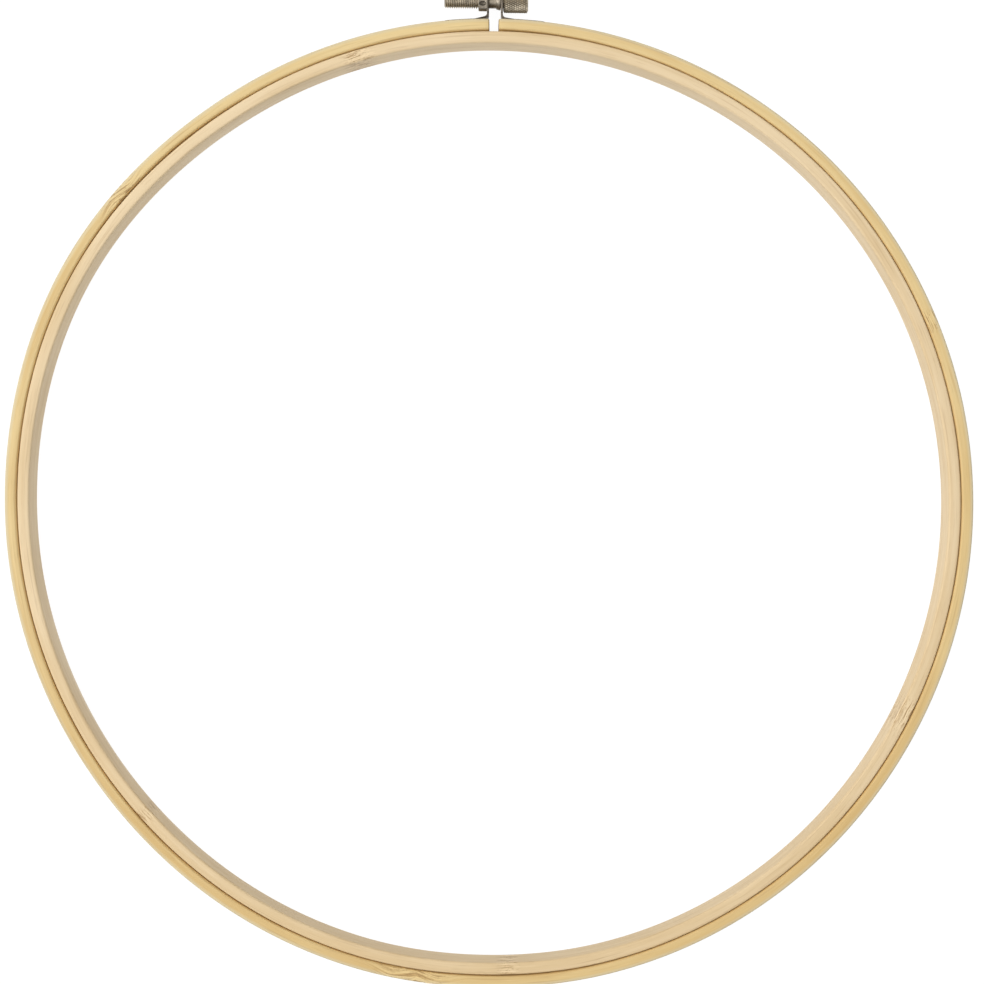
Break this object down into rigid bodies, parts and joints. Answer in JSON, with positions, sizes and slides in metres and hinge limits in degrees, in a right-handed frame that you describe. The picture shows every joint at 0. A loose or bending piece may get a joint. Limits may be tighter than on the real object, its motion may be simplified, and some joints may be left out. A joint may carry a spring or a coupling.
{
  "type": "embroidery hoop",
  "caption": "Round bamboo embroidery hoop: a closed inner ring inside a split outer ring, drawn together by a knurled thumb screw and nut in riveted sheet brackets.",
  "frame": {"origin": "on the back face, at the centre of the whole hoop's outline seen from the front, so the rings' own centre lies 5.45 mm towards -Y", "axes": "+Z out of the front face, +Y towards the split and its screw, +X towards the knob"},
  "size_m": [0.3048, 0.3156, 0.01],
  "materials": {
    "inner_bamboo": "sanded bamboo, fine lengthwise grain",
    "outer_bamboo": "sanded bamboo, fine lengthwise grain",
    "bracket_steel": "nickel-plated sheet",
    "rivet_steel": "nickel-plated",
    "screw_steel": "nickel-plated, dulled"
  },
  "bodies": {
    "closed_ring": {"inner_ring": "inner_bamboo"},
    "split_ring": {"outer_ring": "outer_bamboo", "nut_bracket": "bracket_steel", "nut_bracket_rivet_inner": "rivet_steel", "nut_bracket_rivet_outer": "rivet_steel", "clamp_nut": "screw_steel"},
    "screw_end": {"screw_bracket": "bracket_steel", "screw_bracket_rivet_inner": "rivet_steel", "screw_bracket_rivet_outer": "rivet_steel"},
    "screw": {"thumb_screw": "screw_steel", "retaining_collar": "screw_steel"}
  },
  "joints": [
    {"name": "split_ring_lift", "type": "slide", "parent": "closed_ring", "child": "split_ring", "axis": [0, 0, 1], "range_m": [0, 0.015]},
    {"name": "split_ring_spread", "type": "hinge", "parent": "split_ring", "child": "screw_end", "pos_m": [-0.0048, -0.1561, 0.005], "axis": [0, 0, -1], "range_deg": [-0.1, 1.42], "deforming": ["outer_ring"]},
    {"name": "thumb_screw_turn", "type": "hinge", "parent": "screw_end", "child": "screw", "pos_m": [0.0065, 0.15335, 0.005], "axis": [1, 0, 0], "range_deg": [-270, 3960]}
  ],
  "couplings": [
    {"joint": "thumb_screw_turn", "follows": "split_ring_spread", "ratio": 2777.6}
  ]
}
